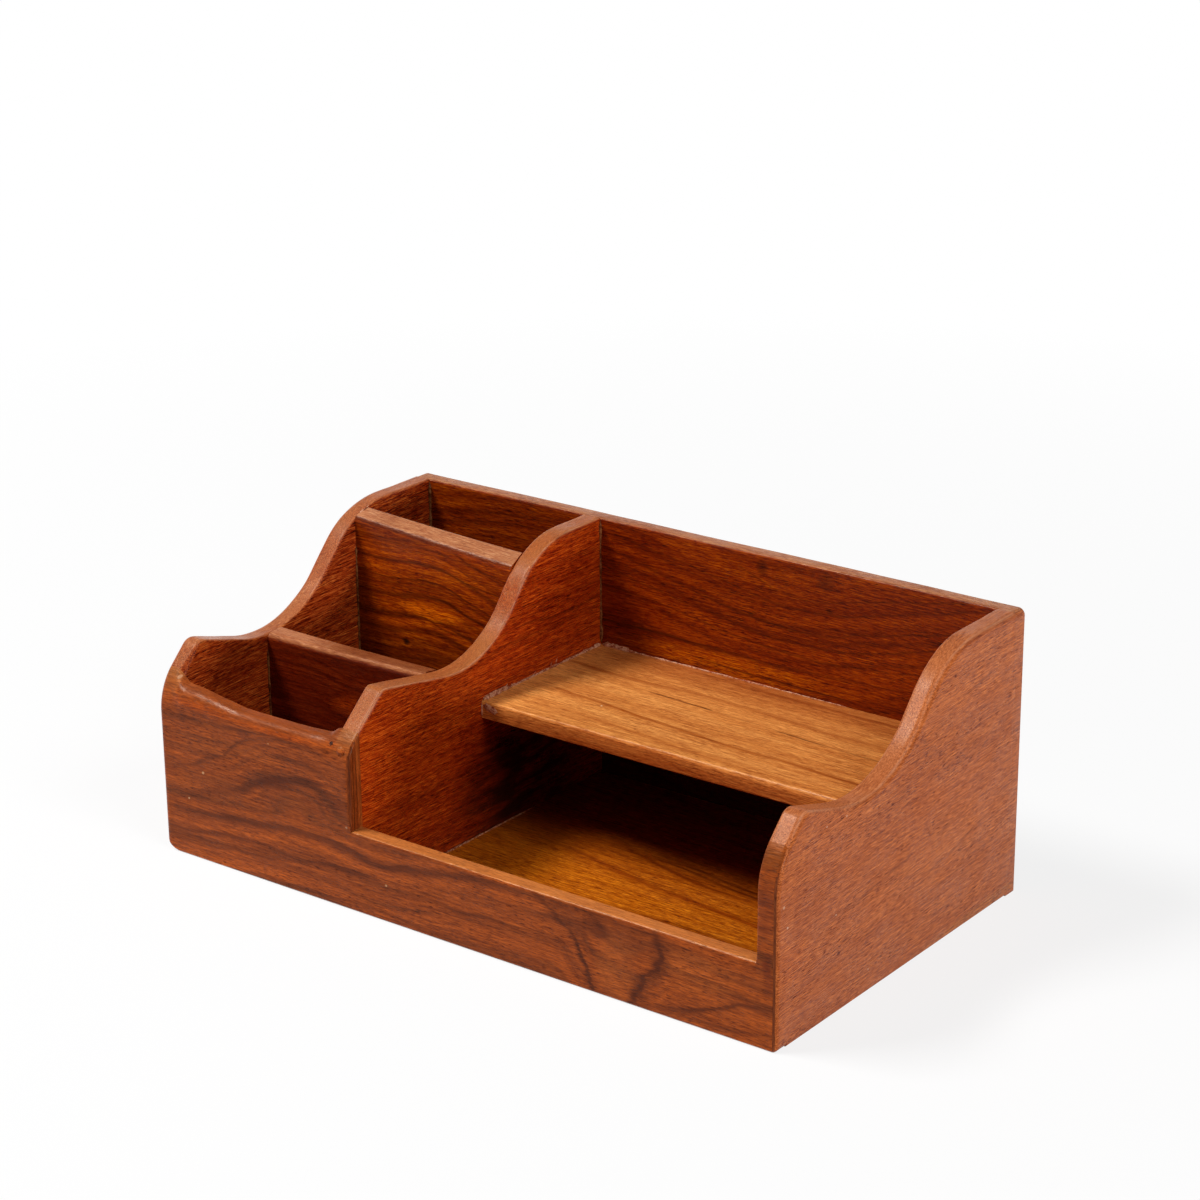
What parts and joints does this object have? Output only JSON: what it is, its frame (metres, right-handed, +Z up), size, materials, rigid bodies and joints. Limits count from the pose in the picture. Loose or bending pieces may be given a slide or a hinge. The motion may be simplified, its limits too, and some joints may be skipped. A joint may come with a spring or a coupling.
{
  "type": "desk organizer",
  "caption": "Open wooden desk organizer with S-curved side boards, tall pen bays on the left and a wide tray with a shelf on the right behind a low front lip.",
  "frame": {"origin": "middle of the outline's rectangle on the underside", "axes": "+X to the right as seen from the front, the front faces -Y, +Z up"},
  "size_m": [0.3, 0.1686, 0.1185],
  "materials": {
    "left_side": "reddish-brown hardwood, satin varnish",
    "right_side": "reddish-brown hardwood, satin varnish",
    "middle_divider": "reddish-brown hardwood, satin varnish",
    "front_panel": "reddish-brown hardwood, satin varnish",
    "back_panel": "reddish-brown hardwood, satin varnish",
    "base_panel": "reddish-brown hardwood, satin varnish",
    "shelf": "reddish-brown hardwood, satin varnish",
    "rear_partition": "reddish-brown hardwood, satin varnish",
    "front_partition": "reddish-brown hardwood, satin varnish",
    "front_panel_pins": "dull steel wire, set under filler",
    "back_panel_pins": "dull steel wire, set under filler"
  },
  "bodies": {
    "root": {"left_side": "left_side", "right_side": "right_side", "middle_divider": "middle_divider", "front_panel": "front_panel", "back_panel": "back_panel", "base_panel": "base_panel", "shelf": "shelf", "rear_partition": "rear_partition", "front_partition": "front_partition", "front_panel_pins": "front_panel_pins", "back_panel_pins": "back_panel_pins"}
  },
  "joints": []
}
